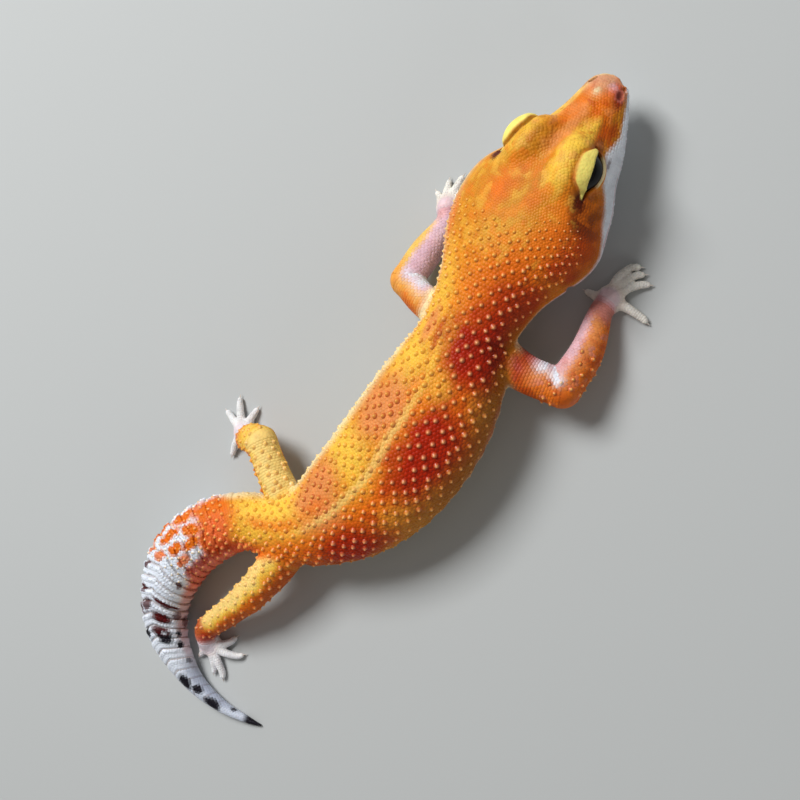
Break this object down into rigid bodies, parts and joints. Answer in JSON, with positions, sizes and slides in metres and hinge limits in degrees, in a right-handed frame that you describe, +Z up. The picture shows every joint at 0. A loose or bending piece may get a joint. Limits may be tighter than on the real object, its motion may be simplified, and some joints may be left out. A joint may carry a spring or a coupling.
{
  "type": "leopard gecko",
  "caption": "Life-size still model of a leopard gecko standing on four bent legs, its head turned a little and its thick tail laid round in a hook.",
  "frame": {"origin": "middle of the footprint of the whole animal, on the floor it stands on", "axes": "+Y toward the snout, +X toward the animal's right, +Z up"},
  "size_m": [0.0587, 0.137, 0.0188],
  "materials": {
    "head_skin": "fine-grained, satin",
    "body_skin": "studded with small rounded scales, satin",
    "tail_skin": "ringed rows of small flat scales, satin",
    "limb_skin": "fine overlapping scale rows, satin",
    "foot_skin": "fine-grained, satin",
    "eye": "wet, clear gloss over a dark iris"
  },
  "bodies": {
    "root": {"head": "head_skin", "lower_jaw": "head_skin", "eye_right": "eye", "eye_left": "eye", "neck": "body_skin", "trunk_front": "body_skin", "trunk_middle": "body_skin", "trunk_rear": "body_skin", "tail_root": "tail_skin", "tail_swell": "tail_skin", "tail_middle": "tail_skin", "tail_end": "tail_skin", "upper_arm_right": "limb_skin", "forearm_right": "limb_skin", "hand_right": "foot_skin", "thigh_right": "limb_skin", "shank_right": "limb_skin", "foot_right": "foot_skin", "upper_arm_left": "limb_skin", "forearm_left": "limb_skin", "hand_left": "foot_skin", "thigh_left": "limb_skin", "shank_left": "limb_skin", "foot_left": "foot_skin"}
  },
  "joints": []
}
